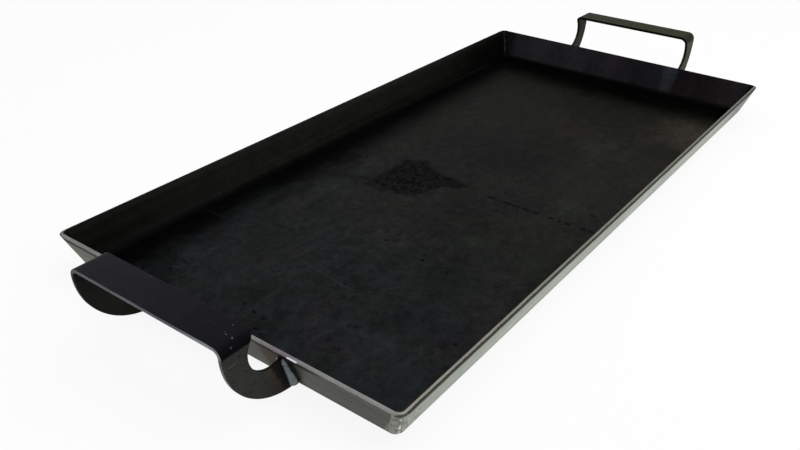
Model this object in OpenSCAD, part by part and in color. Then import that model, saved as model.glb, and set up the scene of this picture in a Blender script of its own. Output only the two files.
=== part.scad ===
// Camp griddle plate: a shallow pan folded from one steel sheet, with its corners welded and
// dressed round, and two folded plate handles welded to its end walls.
// The pan lies along X, its underside is Z = 0 and the origin is the middle of the underside.
// Front is the end at -X, left is the side at +Y.

/* [Sheet] */
// Thickness of the steel that the pan and the handles are cut from
sheet_t = 3.2; // [2.5:0.1:4]

/* [Pan] */
// Length of the rim between its inside edges
rim_l = 700; // [450:5:900]
// Width of the rim between its inside edges
rim_w = 350; // [260:5:500]
// Height of the rim's inside edge above the underside
rim_h = 35.5; // [30:0.5:45]
// Slope of the walls, measured from the floor
wall_slope = 69; // [60:0.5:80]
// Inside radius of the folds and of the corners
fold_r = 5; // [3:0.5:7]

/* [Handles] */
// Width of a handle over the outsides of its two legs
handle_w = 154; // [110:1:220]
// Breadth of the grip, from its inner edge to its outer edge
grip_b = 28; // [20:0.5:40]
// Height of the top of the grip above the underside of the pan
grip_h = 68; // [62:0.5:85]
// Finger gap between the rim and the inner edge of the grip
finger_gap = 20; // [16:0.5:36]
// Inside radius of the folds between the grip and its legs
grip_fold_r = 4.5; // [3:0.5:7]
// Height of the underside of the legs above the underside of the pan
leg_lift = 1; // [0.5:0.1:3]
// Depth of a leg where it meets the wall
foot_d = 27.5; // [16:0.5:28]
// Radius of the hollow inside the hook of a leg
hollow_r = 20.5; // [12:0.5:22]
// How far the hollow cuts into a leg, past the inner edge of the grip
hollow_cut = 7; // [0.5:0.5:9]

/* [Leg welds] */
// Leg length of the weld beads at their upper end
bead_r = 3.2; // [2:0.1:4]
// Leg length of the weld beads at their foot
bead_foot_r = 6.2; // [4:0.1:7]
// Height of the foot of the weld beads above the underside of the pan
bead_lift = 3; // [1:0.5:6]
// Height of the upper end of the weld beads above the underside of the pan
bead_top = 30; // [24:0.5:31]

/* [Hidden] */
$fn = 96;

// Folds of the pan: the axis of each lies one outside radius above the underside
fold_outer_r = fold_r + sheet_t;
fold_z = fold_outer_r;
fold_inset = (rim_h - fold_z) / tan(wall_slope) + fold_r / sin(wall_slope);
floor_half_l = rim_l / 2 - fold_inset;
floor_half_w = rim_w / 2 - fold_inset;

// Flat part of a wall, from the end of the fold up to the cut edge of the rim
wall_len = (rim_h - fold_z + fold_r * cos(wall_slope)) / sin(wall_slope);

// Each corner leans outwards between two walls and turns through twice corner_half
corner_lean = atan(sqrt(2) / tan(wall_slope));
corner_half = atan2(
    sin(wall_slope) * sin(45),
    sin(wall_slope) * cos(45) * cos(corner_lean) + cos(wall_slope) * sin(corner_lean)
);
corner_len = rim_h / cos(corner_lean);

// Outside of an end wall: its distance from the middle at the underside and at the rim
wall_foot_x = rim_l / 2 - rim_h / tan(wall_slope) + sheet_t / sin(wall_slope);
rim_outer_x = rim_l / 2 + sheet_t * sin(wall_slope);

// Handle, as distances from the middle of the pan and from its underside
grip_inner_x = rim_outer_x + finger_gap;
grip_outer_x = grip_inner_x + grip_b;
grip_fold_outer_r = grip_fold_r + sheet_t;
grip_flat_half = handle_w / 2 - grip_fold_outer_r;
leg_top = grip_h - grip_fold_outer_r;
hook_r = leg_top - leg_lift;
hook_x = grip_outer_x - hook_r;
hollow_x = grip_inner_x + hollow_cut - hollow_r;
hollow_z = leg_lift + foot_d + hollow_r;

// Leg weld beads, as distances up the slope of the wall: to the foot and to the centre of the round upper end
bead_start = (bead_lift + bead_foot_r * cos(wall_slope)) / sin(wall_slope);
bead_end = bead_top / sin(wall_slope) - bead_r;
// Angle at which the side of a bead runs into its round upper end
bead_turn = acos(bead_r / norm([bead_foot_r, bead_end - bead_start])) - atan2(bead_end - bead_start, bead_foot_r);
bead_side = [bead_r * cos(bead_turn), bead_end + bead_r * sin(bead_turn)];

// Sheet gets this much thinner on each face where it is bent
bend_thinning = 0.02;
// Hairline by which a bend runs into the flats beside it and stops short of the next bend
hairline = 0.05;
fold_lap = atan(hairline / fold_outer_r);

// Larger than any piece, for cutting solids
reach = rim_l + rim_w;

// Colours
seasoned_steel = [0.13, 0.13, 0.13];
handle_steel = [0.16, 0.15, 0.17];
dressed_weld = [0.55, 0.55, 0.52];
raw_weld = [0.42, 0.43, 0.46];

// Turns a +X piece to the front (-1) or the rear (+1) end of the pan
module at_end(end) {
    rotate(end > 0 ? 0 : 180) children();
}

// Turns a piece made at the +Y end of the Y axis to the side that side gives, +1 or -1
module at_side(side) {
    if (side > 0) children();
    else mirror([0, 1, 0]) children();
}

// Turns a flat piece, with Y up the slope and its outside at -Z, to lie in a wall at the +X end
module up_slope() {
    rotate([wall_slope, 0, -90]) children();
}

// Fold along one edge of the floor, with the axis of the fold along Y through the origin
module fold(half_len) {
    rotate([90, 0, 0])
        rotate(-90 - fold_lap)
            rotate_extrude(angle = wall_slope + 2 * fold_lap)
                translate([fold_r + bend_thinning, hairline - half_len])
                    square([sheet_t - 2 * bend_thinning, 2 * (half_len - hairline)]);
}

// Flat wall above a fold: it widens upwards to follow the lean of the corners
module wall(half_len) {
    rim_half = half_len + wall_len * cos(wall_slope);
    up_slope()
        translate([0, 0, -fold_outer_r])
            linear_extrude(sheet_t)
                polygon([
                    [-half_len, 0],
                    [half_len, 0],
                    [rim_half, wall_len],
                    [-rim_half, wall_len]
                ]);
}

module folded_side(half_len) {
    fold(half_len);
    wall(half_len);
}

// One sheet: the floor with a wall folded up along each edge and its corners notched out
module pan() {
    color(seasoned_steel)
        union() {
            translate([-floor_half_l, -floor_half_w, 0])
                cube([2 * floor_half_l, 2 * floor_half_w, sheet_t]);
            for (turn = [0, 180]) {
                rotate(turn)
                    translate([floor_half_l, 0, fold_z])
                        folded_side(floor_half_w);
                rotate(turn + 90)
                    translate([floor_half_w, 0, fold_z])
                        folded_side(floor_half_l);
            }
        }
}

// Round part of a corner, about the leaning line that both walls are tangent to
module corner_bend() {
    rotate([0, corner_lean, 45])
        rotate(-corner_half)
            rotate_extrude(angle = 2 * corner_half)
                translate([fold_r, 0])
                    square([sheet_t, corner_len]);
}

// Ball end of a corner, where the corner runs out into the two folds and the floor
module corner_ball() {
    intersection() {
        translate([hairline, hairline, -reach / 2]) cube(reach);
        rotate([0, corner_lean, 45])
            rotate(180)
                difference() {
                    sphere(fold_outer_r - bend_thinning);
                    sphere(fold_r + bend_thinning);
                    translate([-reach / 2, -reach / 2, hairline])
                        cube(reach);
                }
    }
}

// Space above the rim at a corner: over each wall's cut edge and over the inside edge
module above_rim() {
    for (turn = [0, 90])
        rotate(turn)
            up_slope()
                translate([-reach / 2, wall_len, -reach / 2])
                    cube(reach);
    translate([-reach / 2, -reach / 2, rim_h - fold_z - hairline])
        cube(reach);
}

// Weld that closes the notched corner at the end and side given, dressed to the folds' radius
module corner_weld(end, side) {
    color(dressed_weld)
        translate([end * floor_half_l, side * floor_half_w, fold_z])
            rotate(atan2(side, end) - 45)
                difference() {
                    union() {
                        corner_bend();
                        corner_ball();
                    }
                    above_rim();
                }
}

// Outline of a leg seen from the side: a hook that runs from the grip round to the wall
module hook_profile() {
    difference() {
        union() {
            intersection() {
                translate([hook_x, leg_top]) circle(hook_r);
                translate([hook_x, leg_lift]) square(hook_r);
            }
            translate([0, leg_lift]) square([hook_x, hook_r]);
        }
        translate([hollow_x, hollow_z]) circle(hollow_r);
        translate([0, hollow_z]) square([grip_inner_x, grip_h]);
        polygon([
            [0, 0],
            [wall_foot_x, 0],
            [wall_foot_x + grip_h / tan(wall_slope), grip_h],
            [0, grip_h]
        ]);
    }
}

module leg() {
    translate([0, handle_w / 2, 0])
        rotate([90, 0, 0])
            linear_extrude(sheet_t)
                hook_profile();
}

// Fold between the grip and a leg; the hollow of the leg runs on into it
module grip_fold() {
    difference() {
        translate([0, grip_flat_half, leg_top])
            rotate([90, 0, 90])
                rotate_extrude(angle = 90)
                    translate([grip_fold_r, grip_inner_x])
                        square([sheet_t, grip_b]);
        translate([hollow_x, handle_w, hollow_z])
            rotate([90, 0, 0])
                cylinder(r = hollow_r, h = handle_w);
    }
}

// One plate: a flat grip with a hooked leg folded down at each end
module handle(end) {
    color(handle_steel)
        at_end(end)
            union() {
                translate([grip_inner_x, -grip_flat_half, grip_h - sheet_t])
                    cube([grip_b, 2 * grip_flat_half, sheet_t]);
                for (side = [-1, 1])
                    at_side(side) {
                        grip_fold();
                        leg();
                    }
            }
}

// Half outline of a weld bead, flared at its foot and round at its top, to be turned about the root of the weld
module bead_profile() {
    polygon([
        [0, bead_start],
        [bead_foot_r, bead_start],
        bead_side,
        [0, bead_side[1]]
    ]);
    translate([0, bead_end])
        intersection() {
            circle(bead_r);
            square(bead_r);
        }
}

// Fillet weld between an end wall and one face of a leg, on the leg's outer or inner face
module leg_weld(end, side, outer) {
    face_y = outer ? handle_w / 2 : handle_w / 2 - sheet_t;
    color(raw_weld)
        at_end(end)
            at_side(side)
                translate([wall_foot_x, face_y, 0])
                    rotate([0, 90 - wall_slope, 0])
                        rotate(outer ? 0 : -90)
                            rotate_extrude(angle = 90)
                                bead_profile();
}

pan();
handle(-1);  // front_handle
handle(1);  // rear_handle
corner_weld(-1, 1);  // corner_weld_front_left
corner_weld(-1, -1);  // corner_weld_front_right
corner_weld(1, 1);  // corner_weld_rear_left
corner_weld(1, -1);  // corner_weld_rear_right
leg_weld(-1, -1, true);  // front_left_leg_weld_outer
leg_weld(-1, -1, false);  // front_left_leg_weld_inner
leg_weld(-1, 1, true);  // front_right_leg_weld_outer
leg_weld(-1, 1, false);  // front_right_leg_weld_inner
leg_weld(1, 1, true);  // rear_left_leg_weld_outer
leg_weld(1, 1, false);  // rear_left_leg_weld_inner
leg_weld(1, -1, true);  // rear_right_leg_weld_outer
leg_weld(1, -1, false);  // rear_right_leg_weld_inner
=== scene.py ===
import math
from functools import reduce

import bmesh
import bpy
import numpy as np
from bpy.props import FloatProperty, FloatVectorProperty, PointerProperty
from bpy.types import Operator, Panel, PropertyGroup
from mathutils import Matrix, Vector


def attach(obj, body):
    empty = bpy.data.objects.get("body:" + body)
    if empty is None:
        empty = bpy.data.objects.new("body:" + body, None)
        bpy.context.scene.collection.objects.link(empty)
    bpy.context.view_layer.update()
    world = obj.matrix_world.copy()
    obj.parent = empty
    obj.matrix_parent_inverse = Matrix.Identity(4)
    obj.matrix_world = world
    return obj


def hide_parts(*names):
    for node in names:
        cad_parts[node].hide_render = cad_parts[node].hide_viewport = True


bl_info = {
    "name": "Camp griddle plate",
    "version": (1, 0, 0),
    "blender": (4, 5, 0),
    "location": "View3D > Sidebar > Griddle",
    "description": "Builds a welded griddle plate of sheet steel with a season, dressed corners and raw weld beads",
    "category": "Add Mesh",
}

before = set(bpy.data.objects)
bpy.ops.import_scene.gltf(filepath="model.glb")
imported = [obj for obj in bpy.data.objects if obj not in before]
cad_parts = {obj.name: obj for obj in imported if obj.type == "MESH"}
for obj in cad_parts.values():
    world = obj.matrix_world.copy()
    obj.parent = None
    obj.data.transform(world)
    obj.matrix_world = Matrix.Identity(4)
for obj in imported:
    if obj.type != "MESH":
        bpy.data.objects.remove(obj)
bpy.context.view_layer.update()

HAIR = 1e-6  # surfaces at the ends of the part stay this far inside its solids
ENDS = {"front": -1, "rear": 1}
SIDES = {"left": 1, "right": -1}

# Fineness of the surfaces
SHARP = math.radians(40)  # an edge that turns further is shaded sharp
MERGE_DIGITS = 7  # decimals of a metre to which equal points agree
EDGE_STEPS, BEND_STEPS = 6, 11  # points round half of a cut edge and round a fold
WALL_STEPS = np.array([0.02, 0.08, 0.25, 0.5, 0.75, 0.93, 0.985, 1.0])  # points up a wall, as shares of it
PAN_STATIONS = (57, 33)  # along the length and along the width
CORNER_STATIONS = 25
LEG_STATIONS, FOLD_STATIONS, GRIP_STATIONS = 44, 9, 24
CURVE_POINTS = 160  # points of the curves that the stations of a leg are taken from
BEAD_STATIONS, BEAD_END_STEPS, BEAD_STEPS = 88, 9, 19  # along a bead, along each of its ends and round it

# Marks of the run across the rim: the floor's two faces, and a corner next to its rim and at its floor
FLOOR_RUN = 0.5
CORNER_RUN = (0.0005, 0.04)

# Shares of a bead's radius
BEAD_CORE, BEAD_RIPPLE, BEAD_WANDER = 0.91, 0.05, 0.03

# Stage
FLOOR_SIZE = 12.0
SENSOR_WIDTH = 36.0  # millimetres
CLIP = (0.01, 60.0)
SOFTBOXES = {"key": ((0.25, -0.30, 1.55), 1.7), "side": ((0.30, -1.60, 0.75), 1.1)}  # place and size


# Properties that a user would change

def length(label, what, default):
    return FloatProperty(name=label, description=what, default=default, unit="LENGTH", precision=4)


def share(label, what, default):
    return FloatProperty(name=label, description=what, default=default, min=0.0, max=1.0, subtype="FACTOR")


def colour(label, what, default):
    return FloatVectorProperty(name=label, description=what, default=default, size=3, min=0.0, max=1.0, subtype="COLOR")


class GriddleSizes(PropertyGroup):
    """Sizes of the plate, in metres, the same as those of the solids"""

    sheet: length("Sheet", "Thickness of the steel", 0.0032)
    rim_l: length("Rim length", "Length between the inside edges of the rim", 0.700)
    rim_w: length("Rim width", "Width between the inside edges of the rim", 0.350)
    rim_h: length("Rim height", "Height of the inside edge of the rim", 0.0355)
    slope: FloatProperty(name="Wall slope", description="Slope of the walls from the floor", default=math.radians(69),
                         subtype="ANGLE")
    fold_r: length("Fold radius", "Inside radius of the folds and corners", 0.005)
    rim_round: length("Rim rounding", "Rounding of the sheared edges of the rim", 0.0005)
    handle_w: length("Handle width", "Width over the legs of a handle", 0.154)
    grip_b: length("Grip breadth", "Breadth of the flat grip", 0.028)
    grip_h: length("Grip height", "Height of the top of the grip", 0.068)
    finger_gap: length("Finger gap", "Gap between the rim and the grip", 0.020)
    grip_fold_r: length("Grip fold radius", "Inside radius of the folds of a handle", 0.0045)
    leg_lift: length("Leg lift", "Height of the underside of the legs", 0.001)
    foot_d: length("Foot depth", "Depth of a leg at the wall", 0.0275)
    hollow_r: length("Hollow radius", "Radius of the hollow in the hook of a leg", 0.0205)
    hollow_cut: length("Hollow cut", "How far the hollow cuts past the inner edge of the grip", 0.007)
    plate_round: length("Plate rounding", "Rounding of the cut edges of a handle", 0.0005)
    bead_r: length("Bead top leg", "Leg length of the weld beads at their upper end", 0.0032)
    bead_foot_r: length("Bead foot leg", "Leg length of the weld beads at their foot", 0.0062)
    bead_lift: length("Bead foot", "Height of the foot of the beads", 0.003)
    bead_top: length("Bead top", "Height of the upper end of the beads", 0.030)
    bead_pitch: length("Bead pitch", "Distance between the ripples of a bead", 0.0021)


class GriddleFinishes(PropertyGroup):
    """Colours and gloss of the steel"""

    season: colour("Season", "Baked black film on the floor", (0.0088, 0.0099, 0.0086))
    season_blue: colour("Blue season", "Bluish film near the front", (0.0118, 0.0136, 0.0156))
    season_brown: colour("Brown season", "Olive-brown film towards the rear", (0.0048, 0.0047, 0.0030))
    season_warm: colour("Warm season", "Film that cooked on brown near the rear right corner", (0.0310, 0.0245, 0.0195))
    season_side: colour("Side season", "Film on the long walls", (0.0063, 0.0063, 0.0055))
    # film on the end walls, bluer and paler than on the long walls; the paleness is partly painted light
    season_end_lit: colour("End season", "Film on the end walls", (0.0200, 0.0200, 0.0232))
    season_purple: colour("Purple season", "Purple film in patches, mostly on the end walls", (0.0190, 0.0130, 0.0150))
    season_heat: colour("Heated season", "Film paled by the welds behind the legs", (0.0290, 0.0335, 0.0400))
    season_rough: share("Season roughness", "Roughness of the film", 0.36)
    seam: colour("Corner seam", "Rubbed line inside a corner", (0.075, 0.078, 0.072))
    # the outside of the long walls is painted far paler than that of the end walls: painted light on the long walls
    end_wall: colour("End walls", "Mill steel outside the end walls", (0.067, 0.071, 0.055))
    side_wall_lit: colour("Side walls", "Bare steel outside the long walls", (0.350, 0.390, 0.325))
    shear: colour("Sheared edge", "Cut edge of the rim at the ends", (0.192, 0.190, 0.179))
    shear_side: colour("Side edge", "Cut edge of the rim along the sides", (0.150, 0.146, 0.122))
    # painted highlight: a bright streak on the rim beside the weld of the front right leg
    rim_highlight: colour("Arc mark", "Bright metal on the rim beside a weld", (0.840, 0.800, 0.900))
    # dark colour of the painted shade under the rim's outer edge, of the torn zone of the cut face, and of gouges
    # beside a corner weld
    edge_shade_and_tear: colour("Burr", "Dark line under the cut edge", (0.022, 0.021, 0.018))
    underside: colour("Underside", "Scale under the pan", (0.060, 0.060, 0.058))
    dressed: colour("Dressed weld", "Ground weld of the corners", (0.184, 0.200, 0.150))
    # painted highlight down the middle of the rounded outside of a corner
    weld_highlight: colour("Weld line", "Bright weld metal in the middle of a corner", (0.620, 0.640, 0.600))
    grip: colour("Grip", "Heat-blued scale on the grip", (0.0120, 0.0104, 0.0150))
    leg: colour("Legs", "Olive scale on the legs", (0.0315, 0.0322, 0.0285))
    rear_grip: colour("Rear grip", "Olive scale on the rear grip", (0.0248, 0.0256, 0.0130))
    rear_leg: colour("Rear legs", "Olive scale on the rear legs", (0.0645, 0.0668, 0.0470))
    rust: colour("Rust", "Faint rust on the grip", (0.0220, 0.0130, 0.0100))
    plate_edge: colour("Outer edge", "Outer cut edges of the handles", (0.100, 0.112, 0.122))
    # near black: the rim's cut edge along the left and rear, soot on the floor, and painted shade inside the handles'
    # legs and on their inner cut edges
    soot_and_shade: colour("Soot", "Soot on the rim and inside the handles", (0.0040, 0.0040, 0.0036))
    chip: colour("Chips", "Chips through the scale", (0.220, 0.215, 0.220))
    bead: colour("Weld bead", "Silver-blue weld metal", (0.158, 0.190, 0.197))
    bead_end: colour("Bead end", "Purple-grey ends of the beads and rim above them", (0.130, 0.110, 0.135))
    tint_brown: colour("Brown tint", "Heat tint furthest from a weld", (0.066, 0.043, 0.019))
    tint_burnt: colour("Burnt tint", "Heat tint next to a weld", (0.0090, 0.0085, 0.0110))


class GriddleStage(PropertyGroup):
    """Floor, light and camera"""

    floor: colour("Floor", "Colour of the studio floor", (0.92, 0.92, 0.92))
    shade: share("Floor shade", "How much of the floor's shading the camera sees", 0.10)
    fill: FloatProperty(name="Fill", description="Strength of the even light all round", default=0.48, min=0.0)
    key: FloatProperty(name="Key", description="Power of the overhead softbox", default=16.0, unit="POWER")
    side: FloatProperty(name="Side", description="Power of the softbox on the right", default=4.5, unit="POWER")
    lens: FloatProperty(name="Lens", description="Focal length for a sensor 36 mm wide", default=37.117, unit="CAMERA")
    eye: FloatVectorProperty(name="Eye", description="Where the camera stands", default=(-0.64676, -0.39947, 0.38705),
                             size=3, subtype="XYZ", unit="LENGTH")
    right: FloatVectorProperty(name="Right", description="Direction to the right in the picture",
                               default=(0.59333, -0.80485, 0.01286), size=3, subtype="DIRECTION")
    down: FloatVectorProperty(name="Down", description="Direction downwards in the picture",
                              default=(-0.40155, -0.30979, -0.86185), size=3, subtype="DIRECTION")
    shift: FloatProperty(name="Shift", description="Sideways shift of the picture", default=-0.01935)


# Surfaces

def unit(v):
    """Vectors divided by their length."""
    return v / np.linalg.norm(v, axis=-1, keepdims=True)


def quads(rows, cols, ring=False):
    """Corner numbers of the cells of a grid of rows by cols points; ring joins the last column to the first."""
    r = np.arange(rows - 1)[:, None]
    c = np.arange(cols if ring else cols - 1)[None, :]
    n = (c + 1) % cols
    return np.stack([r * cols + c, r * cols + n, (r + 1) * cols + n, (r + 1) * cols + c], -1).reshape(-1, 4)


def gather(patches):
    """Points, marks and cells of several patches, given as (points, marks, cells), as one set."""
    starts = np.cumsum([0] + [len(p[0]) for p in patches[:-1]])
    return (np.concatenate([p[0] for p in patches]), np.concatenate([p[1] for p in patches]),
            np.concatenate([p[2] + s for p, s in zip(patches, starts)]))


def make_piece(name, points, marks, cells, lids=(), mark="run"):
    """A closed mesh: equal points become one, cells with two equal corners become triangles, and lids are the
    many-sided faces that close the ends. The marks become a point attribute that the material reads."""
    _, first, back = np.unique(np.round(points, MERGE_DIGITS), axis=0, return_index=True, return_inverse=True)
    back = back.reshape(-1)
    cells = back[cells]
    equal = cells == np.roll(cells, -1, axis=1)
    pinched = equal.any(axis=1)
    turn = (equal[pinched].argmax(axis=1)[:, None] + np.arange(1, 4)) % 4
    threes = np.take_along_axis(cells[pinched], turn, axis=1)
    threes = threes[(threes != np.roll(threes, -1, axis=1)).all(axis=1)]
    faces = cells[~pinched].tolist() + threes.tolist() + [back[np.asarray(lid)].tolist() for lid in lids]
    mesh = bpy.data.meshes.new(name)
    mesh.from_pydata(points[first].tolist(), [], faces)
    mesh.attributes.new(mark, "FLOAT", "POINT").data.foreach_set("value", marks[first].astype(np.float32))
    work = bmesh.new()
    work.from_mesh(mesh)
    bmesh.ops.recalc_face_normals(work, faces=work.faces)
    work.to_mesh(mesh)
    work.free()
    mesh.shade_smooth()
    mesh.set_sharp_from_angle(angle=SHARP)
    mesh.update()
    piece = bpy.data.objects.new(name, mesh)
    bpy.context.scene.collection.objects.link(piece)
    return piece


class FoldedSheet:
    """Measures of the folded pan. A point of its section is a radius rho about the axis of the fold, an angle phi
    from straight down, and a distance s up the slope: it lies rho * sin(phi) + s * cos(slope) outside the edge of
    the floor, and fold_z - rho * cos(phi) + s * sin(slope) above the underside."""

    def __init__(self, sizes):
        self.t, self.r, self.slope = sizes.sheet, sizes.fold_r, sizes.slope
        self.big_r = self.r + self.t
        self.rim_h, self.edge = sizes.rim_h, sizes.rim_round
        # The flat floor ends where its fold starts, this far inside the rim
        inset = (self.rim_h - self.big_r) / math.tan(self.slope) + self.r / math.sin(self.slope)
        self.half_l = sizes.rim_l / 2 - inset
        self.half_w = sizes.rim_w / 2 - inset
        self.wall = (self.rim_h - self.big_r + self.r * math.cos(self.slope)) / math.sin(self.slope)
        self.foot_x = sizes.rim_l / 2 - self.rim_h / math.tan(self.slope) + self.t / math.sin(self.slope)
        self.rim_x = sizes.rim_l / 2 + self.t * math.sin(self.slope)
        self.bends = np.linspace(0, self.slope, BEND_STEPS)
        self.rises = WALL_STEPS * (self.wall - self.edge)

    def rim_arc(self):
        """Rounded cut edge: (rho, s below the top) from the inside face over the edge to the outside face."""
        a = np.linspace(0, math.pi / 2, EDGE_STEPS)
        e = self.edge
        rho = np.concatenate([self.r + e - e * np.cos(a), [self.r + self.t / 2], self.big_r - e + e * np.sin(a)])
        low = np.concatenate([e - e * np.sin(a), [0], e - e * np.cos(a)])
        return rho, low

    def section(self):
        """Ring of the section from the floor's edge up the inside, over the rim and down the outside: distance out,
        height, spread past the end of the fold, and the run across the surface from the inside edge of the rim."""
        rho_rim, low = self.rim_arc()
        phi = np.concatenate([self.bends, np.full(len(self.rises), self.slope)])
        s = np.concatenate([np.zeros(len(self.bends)), self.rises])
        phi = np.concatenate([phi, np.full(len(low) - 2, self.slope), phi[::-1]])
        n = len(s)
        rho = np.concatenate([np.full(n, self.r), rho_rim[1:-1], np.full(n, self.big_r)])
        s = np.concatenate([s, self.wall - low[1:-1], s[::-1]])
        out = rho * np.sin(phi) + s * math.cos(self.slope)
        up = self.big_r - rho * np.cos(phi) + s * math.sin(self.slope)
        travel = (self.wall - s) + rho * (self.slope - phi)
        half = np.arange(len(s)) < len(s) / 2
        run = np.where(half, -travel, self.t + travel)
        run[n:-n] = rho[n:-n] - self.r
        return out, up, s * math.cos(self.slope), run, n


def close_ends(rows, ring, n, start=0):
    """Cells that close the two ends of a folded section, whose rows are rings with n points inside and n outside,
    and the lids that close the rim there, numbered from start."""
    cells, lids = [], []
    for row in (0, rows - 1):
        i = row * ring + np.arange(n - 1)
        j = row * ring + ring - 1 - np.arange(n - 1)
        cells.append(np.stack([i, i + 1, j - 1, j], -1))
        lids.append(start + row * ring + np.arange(n - 1, ring - n + 1))
    return cells, lids


def pan_mesh(sheet):
    """The pan: the floor as two flat grids, and the section carried along each edge of the floor. A station q from
    -1 to 1 along an edge lies at q times the half length of that edge plus the section's spread."""
    out, up, spread, run, n = sheet.section()
    patches, lids, count = [], [], 0
    q_l, q_w = (np.linspace(-1, 1, stations) for stations in PAN_STATIONS)
    for along, q, half, reach in ((1, q_w, sheet.half_w, sheet.half_l), (0, q_l, sheet.half_l, sheet.half_w)):
        for side in (-1, 1):
            grid = np.zeros((len(q), len(out), 3))
            grid[..., along] = q[:, None] * (half + spread)
            grid[..., 1 - along] = side * (reach + out)
            grid[..., 2] = up
            points = grid.reshape(-1, 3)
            strips, caps = close_ends(len(q), len(out), n, count)
            cells = np.concatenate([quads(len(q), len(out)), *strips])
            patches.append((points, np.tile(run, len(q)), cells))
            lids += caps
            count += len(points)
    for z, mark in ((sheet.t, -FLOOR_RUN), (0.0, FLOOR_RUN)):
        x, y = np.meshgrid(q_l * sheet.half_l, q_w * sheet.half_w, indexing="ij")
        points = np.stack([x, y, np.full_like(x, z)], -1).reshape(-1, 3)
        patches.append((points, np.full(len(points), mark), quads(len(q_l), len(q_w))))
    return *gather(patches), lids


def corner_mesh(sheet, end, side):
    """A corner: directions d(u, v) turn from straight down to the arc between the normals of the two walls, and the
    arc then runs up the leaning line. A point is the centre plus rho * d plus s times the leaning direction."""
    c, s_ = math.cos(sheet.slope), math.sin(sheet.slope)
    down, wall_a, wall_b = np.array([0, 0, -1.0]), np.array([s_, 0, -c]), np.array([0, s_, -c])
    lean = unit(np.array([c, c, s_]))
    u = np.linspace(0, 1, CORNER_STATIONS)[:, None]
    v = np.linspace(0, 1, BEND_STEPS)[:, None]
    side_a, side_b = unit(down + v * (wall_a - down)), unit(down + v * (wall_b - down))
    turn = unit(side_a[None] + u[:, None] * (side_b - side_a)[None])
    arc = turn[:, -1]
    rim_low = sheet.rim_h - sheet.t * c
    s_in = (sheet.rim_h - sheet.big_r - sheet.r * arc[:, 2]) / lean[2]
    s_out = (rim_low - sheet.big_r - sheet.big_r * arc[:, 2]) / lean[2]
    rho_rim, low = sheet.rim_arc()
    blend = (rho_rim - sheet.r) / sheet.t
    rise = sheet.rises / sheet.rises[-1]
    ball, k = turn.shape[1], len(rise)
    rho = np.concatenate([np.full(ball + k, sheet.r), rho_rim[1:-1], np.full(ball + k, sheet.big_r)])
    tall_in, tall_out = (s_in - sheet.edge)[:, None] * rise, (s_out - sheet.edge)[:, None] * rise
    flat = np.zeros((len(u), ball))
    top = s_in[:, None] + (s_out - s_in)[:, None] * blend[1:-1] - low[1:-1]
    s = np.concatenate([flat, tall_in, top, tall_out[:, ::-1], flat], axis=1)
    rows = np.concatenate([np.arange(ball), np.full(2 * k + len(low) - 2, ball - 1), np.arange(ball)[::-1]])
    grid = rho[:, None] * turn[:, rows] + s[..., None] * lean
    grid = grid * [end, side, 1] + np.array([end * sheet.half_l, side * sheet.half_w, sheet.big_r])
    ring, n = grid.shape[1], ball + k
    away = np.linspace(*CORNER_RUN, n)
    run = np.concatenate([-away[::-1], rho_rim[1:-1] - sheet.r, sheet.t + away])
    strips, lids = close_ends(len(u), ring, n)
    cells = np.concatenate([quads(len(u), ring), *strips])
    return grid.reshape(-1, 3), np.tile(run, len(u)), cells, lids


def even_run(line, count):
    """count points spaced evenly along a line of points."""
    step = np.concatenate([[0], np.cumsum(np.linalg.norm(np.diff(line, axis=0), axis=1))])
    at = np.linspace(0, step[-1], count)
    return np.stack([np.interp(at, step, line[:, k]) for k in range(line.shape[1])], -1)


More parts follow.
